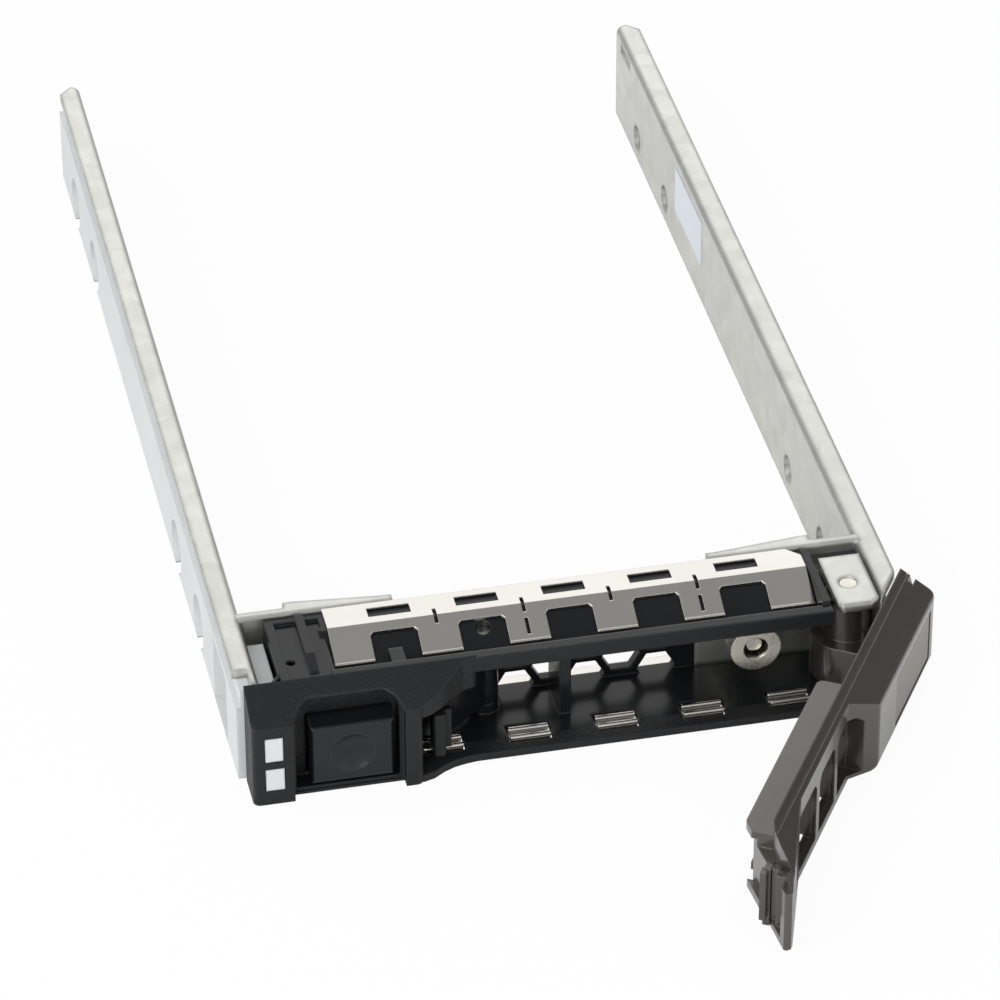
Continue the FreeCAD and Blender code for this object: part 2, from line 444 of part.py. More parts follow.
# ---------------------------------------------------------------- release button
button = Piece("release_button")
button.pad("XZ", ("-ButtonFace", "-8.15"), rect(across("ButtonLeft", "ButtonRight"), ("ButtonLow", "CaddyHeight - ButtonDrop")))
button.round("0.5", lambda a, b: near(a.y, "-ButtonFace") and near(b.y, "-ButtonFace"))
dimple = button.body.newObject("PartDesign::SubtractiveSphere", "release_button_dimple")
dimple.setExpression("Radius", bound("DimpleBall"))
dimple.setExpression("Placement.Base.x", bound("LeftFace + (ButtonLeft + ButtonRight) / 2"))
dimple.setExpression("Placement.Base.y", bound("-ButtonFace - sqrt(DimpleBall ^ 2 - DimpleR ^ 2)"))
dimple.setExpression("Placement.Base.z", bound("(ButtonLow + CaddyHeight - ButtonDrop) / 2"))
button.body.Tip = dimple
button.pad("XZ", ("-8.2", "-4.95"), rect(across("6.1", "12.6"), ("2.6", "CaddyHeight * 0.57")))
button.pad("XZ", ("-Front + SlabDepth + StopGap", "-7.2"), rect(across("3.8", "ButtonRight + 0.6"), ("2.4", "CaddyHeight * 0.585")))
button.pad("XZ", ("-5.1", "-2.2"), rect(across("9.1", "12"), ("CaddyHeight * 0.23", "CaddyHeight * 0.54")))
button.pad("XZ", ("-3.0", "-2.2"), rect(across("9.1", "13.9"), ("CaddyHeight * 0.23", "CaddyHeight * 0.54")))
pieces.append(button)

# ---------------------------------------------------------------- latch
def from_left(*spots):
    """Plan corners given as distances from the left rail's inner face."""
    return [(f"LeftFace + {x}", str(y)) for x, y in spots]


LATCH_SPAN = ("LatchLow", "CaddyHeight - LatchDrop")
latch = Piece("latch_lever")
latch.pad("XY", LATCH_SPAN,
          from_left((18.6, -8.9), (18.6, -9.6), (19.5, -9.6), (20.1, -8.1), (24.3, -4.7),
                    (26.9, -2.6), (26.9, -0.7), (24.9, -0.9), (22.7, -3.9), (19.2, -7.6)))
latch.pad("XY", LATCH_SPAN, ["circle", "LatchX", "-LatchY", "LatchHubR"])
latch.pad("XY", ("1.8", "CaddyHeight * 0.57"), rect(across("18.6", "20.05"), ("-10.9", "-9.1")))
latch.round("0.4", lambda a, b: upright(a, b) and near(a.y, "-10.9"))
latch.pad("XY", ("LatchLow", "CaddyHeight * 0.57"), rect(across("20.0", "20.8"), ("-9.95", "-9.15")))
latch.pad("XY", ("CaddyHeight * 0.27", "CaddyHeight * 0.5"),
          from_left((25.6, -3.2), (25.6, -0.4), (17.1, -3.4), (12.5, -3.4), (12.5, -4.6), (17.1, -4.6)))
latch.pocket("XY", ("0", "CaddyHeight"), ["circle", "LatchX", "-LatchY", "LatchPinR + BoreGap"])
pieces.append(latch)

pin = Piece("latch_pin")
pin.pad("XY", ("ClipRecess + 0.1", "CaddyHeight - 1.7"), ["circle", "LatchX", "-LatchY", "LatchPinR"])
pieces.append(pin)

# ---------------------------------------------------------------- handle, drawn about the pin
STRIP_FRONT = "(-StripBack - StripThick)"
COVER_BACK = f"({STRIP_FRONT} - 0.05)"
COVER_FRONT = f"({COVER_BACK} - CoverThick)"
TOP_CUT = [("-BlockFace - 1",
            "CaddyHeight - ChamferDrop * (SlabDepth + PinY - Front + BlockFace + 1) / SlabDepth"),
           ("-Front + SlabDepth + PinY", "CaddyHeight"), ("-Front + SlabDepth + PinY", "CaddyHeight + 2"),
           ("-BlockFace - 1", "CaddyHeight + 2")]
WING_CUT = [(f"TipX {x:+}", str(y)) for x, y in
            ((-6.0, -9.4), (-3.9, -9.2), (-2.5, -8.7), (-1.1, -7.7), (0.3, -6.4), (1.7, -5.3), (3.4, -4.65),
             (3.4, -1.0), (-6.0, -1.0))]
WINDOWS = ((22.5, 27.7), (15.7, 21.5), (8.0, 14.6), (4.2, 7.1))


def window_outline(start, end):
    """Air window with cut upper corners, from its distances along the handle."""
    return [(f"TipX + {start}", "WindowLow"), (f"TipX + {end}", "WindowLow"),
            (f"TipX + {end}", "CaddyHeight - WindowDrop - 0.8"), (f"TipX + {end - 0.8}", "CaddyHeight - WindowDrop"),
            (f"TipX + {start + 0.8}", "CaddyHeight - WindowDrop"), (f"TipX + {start}", "CaddyHeight - WindowDrop - 0.8")]


arm = Piece("handle_arm")
arm.pad("XY", ("ArmLow", "CaddyHeight - ArmDrop"),
        [("TipX + 31.2", "-StripBack - 0.1"), ("TipX + 31.2", "-ArmBack"), ("TipX + 4.8", "-ArmBack"),
         ("TipX", "-StripBack - 0.1"), ("TipX", STRIP_FRONT), ("TipX + 31.2", STRIP_FRONT)])
arm.round("0.8", lambda a, b: upright(a, b) and near(a.y, "-ArmBack"))
arm.pocket("XY", ("ArmLow + 1", "CaddyHeight - ArmDrop - 1"),
           [("TipX + 32.4", "-ArmBack - 0.5"), ("TipX + 5.0", "-ArmBack - 0.5"), ("TipX + 0.9", "-4.8"),
            ("TipX - 0.6", "-4.8"), ("TipX - 0.6", "0"), ("TipX + 32.4", "0")])
arm.pad("XZ", (STRIP_FRONT, "-StripBack"), rect(("TipX", "HandleEnd"), ("HandleLow", "CaddyHeight")))
arm.pad("XY", ("HubLow", "CaddyHeight - HubDrop"), ["circle", "0", "0", "HubR"])
arm.pad("XY", ("HubLow", "CaddyHeight - HubDrop"),
        [("0", "0"), ("-HubR", "0"), ("-HubR", "-StripBack - 0.1"), ("-2.45", "-StripBack - 0.1"), ("0", "-3.25")])
# flats that let the hub turn past the rail's inner face
FLAT = "(PinIn - 0.2)"
arm.pocket("XY", ("0", "CaddyHeight - HubDrop + 0.5"),
           [("-2.4", "-4.65"),
            (f"{FLAT} / cos(OpenAngle / 4) * cos(OpenAngle * 0.75)", f"-{FLAT} / cos(OpenAngle / 4) * sin(OpenAngle * 0.75)"),
            (FLAT, f"-{FLAT} * tan(OpenAngle / 4)"), (FLAT, "6"), ("6", "6"), ("6", "-4.65")])
# upper barrel that hides the spring
arm.pad("XY", ("CaddyHeight - HubDrop - 0.5", "CaddyHeight - Sheet - 0.2"), ["circle", "0", "0", "BarrelR"])
arm.pocket("XY", ("CaddyHeight - HubDrop", "CaddyHeight"), ["circle", "0", "0", "SpringRoom"])
for start, end in WINDOWS:
    arm.pocket("XZ", ("-7", "0"), window_outline(start, end))
arm.pad("XY", ("2.1", "CaddyHeight - 4.5"), rect(("TipX - 0.7", "TipX + 0.3"), ("-5.2", "-4.5")))
arm.pocket("XY", ("0", "CaddyHeight"), ["circle", "0", "0", "PinR + BoreGap"])
arm.pocket("YZ", ("TipX - 2", "HandleEnd + 1"), TOP_CUT)
arm.pocket("XY", ("CaddyHeight - 4.45", "CaddyHeight + 1"), WING_CUT)
arm.swing()
pieces.append(arm)

cover = Piece("handle_cover")
cover.pad("XY", ("BlockLow", "CaddyHeight"),
          [("TipX + 26", COVER_BACK), ("TipX + 26", "-6.1"), ("TipX + 29.2", "-BlockFace"), ("HandleEnd", "-BlockFace"),
           ("HandleEnd", COVER_BACK)])
cover.pocket("YZ", ("TipX - 6", "HandleEnd + 1"), TOP_CUT)
cover.round("BlockRound", lambda a, b: near(a.y, "-BlockFace") and near(b.y, "-BlockFace"))
cover.pad("XY", ("HandleLow", "CaddyHeight"), rect(("TipX + 8.5", "HandleEnd"), (COVER_FRONT, COVER_BACK)))
cover.pad("XY", ("HandleLow", "CaddyHeight"),
          [("TipX + 9", COVER_BACK), ("TipX + 0.1", COVER_BACK), ("TipX - 3.3", "-8.05"), ("TipX - 3.4", "-8.4"),
           ("TipX - 3.0", "-8.8"), ("TipX - 2.4", "-8.8"), ("TipX + 9", "-6.0")])
cover.pocket("YZ", ("TipX - 6", "HandleEnd + 1"), TOP_CUT)
for start, end in WINDOWS:
    cover.pocket("XZ", ("-10", "-5"), window_outline(start, end))
cover.pocket("XY", ("1.8", "CaddyHeight - 3.7"),
             [("TipX - 4.6", "-7.4"), ("TipX - 0.75", "-7.4"), ("TipX - 0.75", "-6.35"), ("TipX + 0.25", "-6.35"),
              ("TipX + 0.25", "-5"), ("TipX - 4.6", "-5")])
cover.pocket("XY", ("CaddyHeight - 4.45", "CaddyHeight + 1"), WING_CUT)
cover.pocket("YZ", ("HandleEnd - 1.4", "HandleEnd + 1"),
             [("-6.9", "CaddyHeight"), ("-6.2", "CaddyHeight - 2.1"), ("-5.6", "CaddyHeight")])
cover.pocket("XZ", ("-BlockFace - 1", "-BlockFace + 0.4"), rect(("-10.5", "2.9"), ("2.6", "CaddyHeight - 3.7")))
cover.swing()
pieces.append(cover)

panel = Piece("handle_label_panel")
panel.pad("XZ", ("-BlockFace + 0.08", "-BlockFace + 0.4"), rect(("-10.3", "2.7"), ("2.8", "CaddyHeight - 3.9")))
panel.swing()
pieces.append(panel)

# ---------------------------------------------------------------- hinge
LUG = [("RightFace - LugIn", "BracketBack"), ("RightFace - LugOut", "BracketBack"),
       ("RightFace - LugOut", "-PinY - LugR + 0.8"), ("PinX + 1.7", "-PinY - LugR + 0.1"),
       ("RightFace - LugIn + 0.5", "-PinY - LugR + 0.1"), ("RightFace - LugIn", "-PinY - LugR + 0.6")]
bracket = Piece("hinge_bracket")
bracket.pad("XZ", ("BracketFront", "BracketBack"),
            rect(("RightFace - BracketIn", "RightFace - LugOut"), ("FloorThick", DECK[0])))
for low_z, high_z in (("0", "Sheet"), ("CaddyHeight - Sheet", "CaddyHeight")):
    bracket.pad("XY", (low_z, high_z), LUG)
bracket.pad("XZ", ("BracketFront", "BracketBack"), rect(("RightFace - LugIn", "RightFace - LugOut"), ("0", "CaddyHeight")))
bracket.pocket("XY", ("-1", "CaddyHeight + 1"), ["circle", "PinX", "-PinY", "PinR + 0.02"])
bracket.pocket("XZ", ("BracketFront - 1", "BracketBack + 1"), ["circle", "CollarX", "CaddyHeight / 2", "RivetR + BoreGap"])
pieces.append(bracket)

hinge = Piece("hinge_pin")
hinge.pad("XY", ("0.1", "CaddyHeight - 0.1"), ["circle", "PinX", "-PinY", "PinR"])
pieces.append(hinge)

coil = Piece("handle_spring")
coil.pad("XY", ("CaddyHeight - HubDrop + 0.1", "CaddyHeight - Sheet - 0.1"),
         ["circle", "PinX", "-PinY", "SpringRoom - 0.35"], ["circle", "PinX", "-PinY", "PinR + 0.35"])
pieces.append(coil)

spring = Piece("button_spring")
SPRING_X = "LeftFace + SpringIn"
spring.pad("XZ", ("-2.2", "BackWall"), ["circle", SPRING_X, "CaddyHeight * 0.385", "SpringR"],
           ["circle", SPRING_X, "CaddyHeight * 0.385", "SpringR - 2 * WireR"])
pieces.append(spring)

# ---------------------------------------------------------------- collar and rivets
collar = Piece("collar")
collar.pad("XZ", ("-CollarFront", "BracketFront"), ["circle", "CollarX", "CaddyHeight / 2", "CollarR"],
           ["circle", "CollarX", "CaddyHeight / 2", "CollarBore"])
pieces.append(collar)

rivet = Piece("collar_rivet")
rivet.pad("XZ", ("-CollarFront + 0.9", "BezelBack"), ["circle", "CollarX", "CaddyHeight / 2", "RivetR"])
pieces.append(rivet)

for node, face, side in (("tab_rivet_left", "LeftFace", "-1"), ("tab_rivet_right", "RightFace", "1")):
    stud = Piece(node)
    spot = f"{face} - {side} * TabRivetIn"
    stud.pad("XZ", ("BezelBack - 1", "BezelBack + Sheet + 0.1"), ["circle", spot, "CaddyHeight - 3.5", "RivetR"])
    stud.pad("XZ", ("BezelBack + Sheet", "BezelBack + Sheet + 0.6"), ["circle", spot, "CaddyHeight - 3.5", "1.6"])
    pieces.append(stud)

label = Piece("rail_label")
label.pad("YZ", ("RightFace - 0.1", "RightFace"), rect(("BezelBack + 71.5", "BezelBack + 85"), ("4.9", "CaddyHeight - 2")))
pieces.append(label)

# ---------------------------------------------------------------- check and export
doc.recompute()
for item in doc.Objects:
    if "Invalid" in item.State or "Error" in item.State:
        raise RuntimeError(f"{item.Name}: {item.State}")
for piece in pieces:
    shape = piece.body.Shape
    if shape.isNull() or not shape.isValid():
        raise RuntimeError(f"{piece.node}: bad shape")
    print(piece.node, len(shape.Solids), [round(v, 2) for v in (shape.BoundBox.XMin, shape.BoundBox.XMax,
          shape.BoundBox.YMin, shape.BoundBox.YMax, shape.BoundBox.ZMin, shape.BoundBox.ZMax)])
    shape.exportStep(f"parts/{piece.node}.step")
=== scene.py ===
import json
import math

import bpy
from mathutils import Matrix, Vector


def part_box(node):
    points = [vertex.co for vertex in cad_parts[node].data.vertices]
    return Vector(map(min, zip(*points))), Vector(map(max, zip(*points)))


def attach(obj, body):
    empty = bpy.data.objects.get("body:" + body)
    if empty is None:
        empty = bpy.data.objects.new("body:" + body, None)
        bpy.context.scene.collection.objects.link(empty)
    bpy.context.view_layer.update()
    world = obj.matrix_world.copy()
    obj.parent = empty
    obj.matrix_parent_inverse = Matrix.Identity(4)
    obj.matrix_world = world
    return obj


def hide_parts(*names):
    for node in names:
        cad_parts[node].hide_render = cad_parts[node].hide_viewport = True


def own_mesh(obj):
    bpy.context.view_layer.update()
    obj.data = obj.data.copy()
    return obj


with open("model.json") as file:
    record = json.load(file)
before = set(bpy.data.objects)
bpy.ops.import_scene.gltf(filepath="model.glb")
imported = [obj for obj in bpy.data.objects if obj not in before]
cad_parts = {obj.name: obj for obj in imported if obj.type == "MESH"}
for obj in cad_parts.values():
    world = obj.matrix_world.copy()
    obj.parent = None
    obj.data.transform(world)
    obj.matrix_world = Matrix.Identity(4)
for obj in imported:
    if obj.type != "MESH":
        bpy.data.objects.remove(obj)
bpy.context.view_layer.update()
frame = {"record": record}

# %% [markdown]
# # Hot swap drive caddy
# The caddy is an open frame: two sheet-metal rails hold a drive, and a black bezel in
# front carries a push button and a swing-out handle. The shapes come from the CAD
# model. This lesson sets up a soft studio, gives each part its finish, winds the two
# springs and rolls the hems of the spring clip.

MM = 0.001
scene = bpy.context.scene
scene.view_settings.view_transform = "Standard"

# %% [markdown]
# ## Camera
# The caddy is seen from the front, a little from the left and from above, through a
# long lens, so its long rails hardly converge. A camera could track an empty, but that
# leaves out the trace of roll. Here azimuth, elevation and roll become a matrix.


# %% Directions of a camera
def camera_axes(azimuth, elevation, roll):
    """Right, up and backward directions of a camera."""
    back = Vector((math.sin(azimuth) * math.cos(elevation),
                   -math.cos(azimuth) * math.cos(elevation), math.sin(elevation)))
    right = (-back).cross(Vector((0, 0, 1))).normalized()
    up = right.cross(-back)
    turned_right = right * math.cos(roll) + up * math.sin(roll)
    turned_up = up * math.cos(roll) - right * math.sin(roll)
    return turned_right, turned_up, back


AZIMUTH, ELEVATION, ROLL = map(math.radians, (-12.077, 34.991, -0.258))
axes = camera_axes(AZIMUTH, ELEVATION, ROLL)
print("camera looks along", tuple(round(-part, 3) for part in axes[2]))

# %% Camera in its place
CAMERA_PLACE = Vector((-112.08, -492.94, 380.31)) * MM
LENS_MM, SENSOR_MM = 202.65, 36
FARTHEST_SEEN = 10

camera = bpy.data.objects.new("studio_camera", bpy.data.cameras.new("studio_camera"))
scene.collection.objects.link(camera)
camera.data.lens = LENS_MM
camera.data.sensor_width = SENSOR_MM
camera.data.clip_end = FARTHEST_SEEN
place = Matrix(axes).transposed().to_4x4()
place.translation = CAMERA_PLACE
camera.matrix_world = place
scene.camera = camera
print("camera at", tuple(round(part, 4) for part in place.translation))

# %% [markdown]
# ## Node helpers
# Every material, group and tree below is a few nodes and the links between them.
# These helpers keep that short: one adds a node with its settings and values, one
# links a list of runs. They only save typing, and each node is still named in place.


# %% Add nodes and link them
def add(tree, kind, values=(), **settings):
    """Adds a node, then sets its attributes and its inputs, by name or number."""
    node = tree.nodes.new(kind)
    for label, setting in settings.items():
        setattr(node, label, setting)
    for label, number in dict(values).items():
        node.inputs[label].default_value = number
    return node


def wire(tree, *runs):
    """Links runs of a node, its output, the next node and its input."""
    for source, result, target, entrance in runs:
        tree.links.new(source.outputs[result], target.inputs[entrance])


def ramp(tree, from_low, from_high, to_low, to_high):
    """A smooth Map Range node with its four ends."""
    ends = {"From Min": from_low, "From Max": from_high, "To Min": to_low, "To Max": to_high}
    return add(tree, "ShaderNodeMapRange", ends, interpolation_type="SMOOTHSTEP")


def new_material(name):
    """An empty node material and its tree."""
    material = bpy.data.materials.new(name)
    material.use_nodes = True
    material.node_tree.nodes.clear()
    return material, material.node_tree


WHITE = (1, 1, 1, 1)
print("helpers ready")

# %% [markdown]
# ## Floor
# The caddy lies on a wide pale table. A plain floor turns grey unless the lamps are so
# strong that the metal burns out. So the camera sees mostly a white glow in its place,
# while light and shadow still meet a diffuse surface.

# %% Floor
FLOOR_REACH = 3
FLOOR_SHADE = (0.9, 0.9, 0.9, 1)
GLOW_SHARE = 0.94

corners = [(-FLOOR_REACH, -FLOOR_REACH, 0), (FLOOR_REACH, -FLOOR_REACH, 0),
           (FLOOR_REACH, FLOOR_REACH, 0), (-FLOOR_REACH, FLOOR_REACH, 0)]
floor_mesh = bpy.data.meshes.new("studio_floor")
floor_mesh.from_pydata(corners, [], [(0, 1, 2, 3)])
floor = bpy.data.objects.new("studio_floor", floor_mesh)
scene.collection.objects.link(floor)

material, tree = new_material("studio_floor")
output = add(tree, "ShaderNodeOutputMaterial")
diffuse = add(tree, "ShaderNodeBsdfDiffuse", {"Color": FLOOR_SHADE})
glow = add(tree, "ShaderNodeEmission", {"Color": WHITE})
path = add(tree, "ShaderNodeLightPath")
share = add(tree, "ShaderNodeMath", {1: GLOW_SHARE}, operation="MULTIPLY")
mix = add(tree, "ShaderNodeMixShader")
wire(tree,
     (path, "Is Camera Ray", share, 0),
     (share, 0, mix, 0),
     (diffuse, 0, mix, 1),
     (glow, 0, mix, 2),
     (mix, 0, output, "Surface"))
floor_mesh.materials.append(material)
print("floor:", 2 * FLOOR_REACH, "m wide")

# %% [markdown]
# ## Lamps
# Sheet metal and glossy plastic show the shape of each lamp, so small lamps would
# leave hard spots. Three large squares, a key, a fill and a rim from behind, give the
# broad soft reflections of a product table.

# %% Lamps
LAMPS = (                                   # name, place, width in m, watts
    ("key", (-0.55, -0.55, 0.65), 0.9, 6.6),
    ("fill", (0.75, -0.45, 0.4), 1.1, 4.0),
    ("rim", (0.15, 0.95, 0.6), 1.3, 3.0),
)
AIM = Vector((0, 0.03, 0))

for lamp_name, spot, width, watts in LAMPS:
    lamp = bpy.data.lights.new(lamp_name, "AREA")
    lamp.size, lamp.energy = width, watts
    holder = bpy.data.objects.new(lamp_name, lamp)
    holder.location = spot
    holder.rotation_euler = (AIM - Vector(spot)).to_track_quat("-Z", "Y").to_euler()
    scene.collection.objects.link(holder)
print("lamps:", len(LAMPS))

# %% [markdown]
# ## Room
# Metal shows the room around it. An even white world makes a folded sheet look flat,
# so this room is bright towards the horizon, dim overhead and dimmer on the right:
# upright faces turn pale and slopes stay grey. Camera rays, and rays through clear
# parts, see plain white.

# %% Room
HORIZON, OVERHEAD = 0.9, 0.34
RIGHT_SHARE = 0.3

world = bpy.data.worlds.new("studio_room")
scene.world = world
world.use_nodes = True
tree = world.node_tree
tree.nodes.clear()
output = add(tree, "ShaderNodeOutputWorld")
room = add(tree, "ShaderNodeBackground", {"Color": WHITE})
bright = add(tree, "ShaderNodeBackground", {"Color": WHITE, "Strength": 1.0})
direction = add(tree, "ShaderNodeTexCoord")
height = add(tree, "ShaderNodeSeparateXYZ")
ceiling = ramp(tree, from_low=0.4, from_high=0.9, to_low=HORIZON, to_high=OVERHEAD)
dim_side = ramp(tree, from_low=0.35, from_high=0.7, to_low=1.0, to_high=RIGHT_SHARE)
level = add(tree, "ShaderNodeMath", operation="MULTIPLY")
path = add(tree, "ShaderNodeLightPath")
seen = add(tree, "ShaderNodeMath", operation="MAXIMUM")
mix = add(tree, "ShaderNodeMixShader")
wire(tree,
     (direction, "Generated", height, 0),
     (height, "Z", ceiling, "Value"),
     (height, "X", dim_side, "Value"),
     (ceiling, "Result", level, 0),
     (dim_side, "Result", level, 1),
     (level, 0, room, "Strength"),
     (path, "Is Camera Ray", seen, 0),
     (path, "Is Transmission Ray", seen, 1),
     (seen, 0, mix, 0),
     (room, 0, mix, 1),
     (bright, 0, mix, 2),
     (mix, 0, output, "Surface"))
print("room nodes:", len(tree.nodes))

# %% [markdown]
# ## Shared surface effects
# Effects that come back in several finishes are built once as node groups with named
# inputs, and then placed in each material with its own values. Their patterns read
# Object coordinates, so each stays on its part when the part moves.


# %% Group helper
def new_group(name, inputs, outputs):
    """A shader group; an input's kind follows from its default value."""
    group = bpy.data.node_groups.new(name, "ShaderNodeTree")
    for label, default in inputs.items():
        kind = "NodeSocketColor" if isinstance(default, tuple) else "NodeSocketFloat"
        socket = group.interface.new_socket(label, in_out="INPUT", socket_type=kind)
        socket.default_value = default
    for label, kind in outputs.items():
        group.interface.new_socket(label, in_out="OUTPUT", socket_type="NodeSocket" + kind)
    return group, group.nodes.new("NodeGroupInput"), group.nodes.new("NodeGroupOutput")


MID_GREY = (0.5, 0.5, 0.5, 1)
print("group helper ready")

# %% [markdown]
# ### Fine grain
# Rolled sheet and moulded plastic both have a grain too fine to model. One noise
# serves twice: its height feeds the bump, and its value spreads the roughness, so dull
# spots sit where the surface is uneven.

# %% Fine grain
grain, entry, leave = new_group(
    "fine_grain",
    {"Scale": 3000.0, "Rough Low": 0.4, "Rough High": 0.5},
    {"Height": "Float", "Roughness": "Float"})
coords = add(grain, "ShaderNodeTexCoord")
noise = add(grain, "ShaderNodeTexNoise", {"Detail": 3.0})
spread = add(grain, "ShaderNodeMapRange")
wire(grain,
     (coords, "Object", noise, "Vector"),
     (entry, "Scale", noise, "Scale"),
     (noise, "Fac", leave, "Height"),
     (noise, "Fac", spread, "Value"),
     (entry, "Rough Low", spread, "To Min"),
     (entry, "Rough High", spread, "To Max"),
     (spread, "Result", leave, "Roughness"))
print("group:", grain.name)

# %% [markdown]
# ### Tone patches
# No real surface has one exact colour. A wide, slow noise makes it a little darker or
# lighter by multiplying it, which keeps the hue.

# %% Tone patches
patches, entry, leave = new_group(
    "tone_patches",
    {"Color": MID_GREY, "Scale": 60.0, "Darkest": 0.9, "Lightest": 1.05},
    {"Color": "Color"})
coords = add(patches, "ShaderNodeTexCoord")
noise = add(patches, "ShaderNodeTexNoise", {"Detail": 4.0})
spread = add(patches, "ShaderNodeMapRange", {"From Min": 0.3, "From Max": 0.7})
tint = add(patches, "ShaderNodeVectorMath", operation="SCALE")
wire(patches,
     (coords, "Object", noise, "Vector"),
     (entry, "Scale", noise, "Scale"),
     (noise, "Fac", spread, "Value"),
     (entry, "Darkest", spread, "To Min"),
     (entry, "Lightest", spread, "To Max"),
     (entry, "Color", tint, 0),
     (spread, "Result", tint, "Scale"),
     (tint, 0, leave, "Color"))
print("group:", patches.name)

# %% [markdown]
# ### Zinc spangle
# Zinc freezes on the sheet in crystals, and each has its own tone. Voronoi cells are
# the natural pattern, but their straight borders look drawn, so a noise bends the
# coordinates first.

# %% Zinc spangle
BORDER_BEND = 0.002
LIGHTEST_CRYSTAL = 1.04

spangle, entry, leave = new_group(
    "zinc_spangle", {"Color": MID_GREY, "Scale": 250.0, "Depth": 0.12}, {"Color": "Color"})
coords = add(spangle, "ShaderNodeTexCoord")
bend = add(spangle, "ShaderNodeTexNoise", {"Scale": 300.0})
shift = add(spangle, "ShaderNodeVectorMath", {1: (BORDER_BEND,) * 3}, operation="MULTIPLY_ADD")
crystal = add(spangle, "ShaderNodeTexVoronoi")
value = add(spangle, "ShaderNodeSeparateColor")
darkest = add(spangle, "ShaderNodeMath", {0: 1.0}, operation="SUBTRACT")
spread = add(spangle, "ShaderNodeMapRange", {"To Max": LIGHTEST_CRYSTAL})
tint = add(spangle, "ShaderNodeVectorMath", operation="SCALE")
wire(spangle,
     (coords, "Object", bend, "Vector"),
     (bend, "Color", shift, 0),
     (coords, "Object", shift, 2),
     (shift, 0, crystal, "Vector"),
     (entry, "Scale", crystal, "Scale"),
     (crystal, "Color", value, 0),
     (entry, "Depth", darkest, 1),
     (value, 0, spread, "Value"),
     (darkest, 0, spread, "To Min"),
     (entry, "Color", tint, 0),
     (spread, "Result", tint, "Scale"),
     (tint, 0, leave, "Color"))
print("group:", spangle.name)

# %% [markdown]
# ### Painted fold shade
# Along its fold each rail reflects a dark part of the room, and this group paints that
# dark line into the colour as shade. A painted stripe would need a map of the part.
# The surface normal already knows: the line lies where the face turns from upright to
# level. The rails never turn, so their normal always says how steep a face is.

# %% Painted fold shade
# Darkens faces between upright and level: painted shade along the folds.
fold, entry, leave = new_group(
    "painted_fold_shade", {"Color": MID_GREY, "Depth": 0.3}, {"Color": "Color"})
facing = add(fold, "ShaderNodeNewGeometry")
split = add(fold, "ShaderNodeSeparateXYZ")
steep = add(fold, "ShaderNodeMath", operation="ABSOLUTE")
line_starts = ramp(fold, from_low=0.1, from_high=0.4, to_low=0.0, to_high=1.0)
line_ends = ramp(fold, from_low=0.6, from_high=0.92, to_low=1.0, to_high=0.0)
band = add(fold, "ShaderNodeMath", operation="MULTIPLY")
depth = add(fold, "ShaderNodeMath", operation="MULTIPLY")
left_over = add(fold, "ShaderNodeMath", {0: 1.0}, operation="SUBTRACT")
tint = add(fold, "ShaderNodeVectorMath", operation="SCALE")
wire(fold,
     (facing, "Normal", split, 0),
     (split, "Z", steep, 0),
     (steep, 0, line_starts, "Value"),
     (steep, 0, line_ends, "Value"),
     (line_starts, "Result", band, 0),
     (line_ends, "Result", band, 1),
     (band, 0, depth, 0),
     (entry, "Depth", depth, 1),
     (depth, 0, left_over, 1),
     (entry, "Color", tint, 0),
     (left_over, 0, tint, "Scale"),
     (tint, 0, leave, "Color"))
print("group:", fold.name)

# %% [markdown]
# ### Painted light on edges
# Real edges are slightly round. Rounding every CAD edge in the mesh would
# cost many faces, and CAD meshes stay as they are. The Bevel node gives a rounded
# normal instead. Where it leaves the true normal there is an edge, and there the colour
# turns to a painted edge colour. It is lighter for a painted highlight and darker for
# painted shade, as each finish sets it. A noise breaks that line up.

# %% Painted light on edges
EDGE_STARTS, EDGE_FULL = 0.985, 0.80        # cosine between the two normals
BEVEL_SAMPLES = 6

edges, entry, leave = new_group(
    "painted_edge_light",
    {"Color": MID_GREY, "Painted Edge Color": (0.8, 0.8, 0.8, 1), "Radius": 0.0002, "Amount": 0.3},
    {"Color": "Color", "Normal": "Vector"})
soft = add(edges, "ShaderNodeBevel", samples=BEVEL_SAMPLES)
flat = add(edges, "ShaderNodeNewGeometry")
match = add(edges, "ShaderNodeVectorMath", operation="DOT_PRODUCT")
spread = add(edges, "ShaderNodeMapRange", {"From Min": EDGE_STARTS, "From Max": EDGE_FULL})
coords = add(edges, "ShaderNodeTexCoord")
noise = add(edges, "ShaderNodeTexNoise", {"Scale": 700.0, "Detail": 3.0})
broken = add(edges, "ShaderNodeMath", operation="MULTIPLY")
mask = add(edges, "ShaderNodeMath", operation="MULTIPLY")
# This mix paints each edge's highlight or shade into the colour.
blend = add(edges, "ShaderNodeMix", data_type="RGBA")
wire(edges,
     (entry, "Radius", soft, "Radius"),
     (soft, "Normal", match, 0),
     (flat, "Normal", match, 1),
     (match, "Value", spread, "Value"),
     (coords, "Object", noise, "Vector"),
     (spread, "Result", broken, 0),
     (noise, "Fac", broken, 1),
     (broken, 0, mask, 0),
     (entry, "Amount", mask, 1),
     (mask, 0, blend, "Factor"),
     (entry, "Color", blend, "A"),
     (entry, "Painted Edge Color", blend, "B"),
     (blend, "Result", leave, "Color"),
     (soft, "Normal", leave, "Normal"))
print("group:", edges.name)

# %% [markdown]
# ### Moulded skin
# The bezel has a pebbled skin on its front, where hands touch it, and a polished
# inside. Two materials would split the part. One group can do both, because Y in
# Object coordinates says how far back a point is.

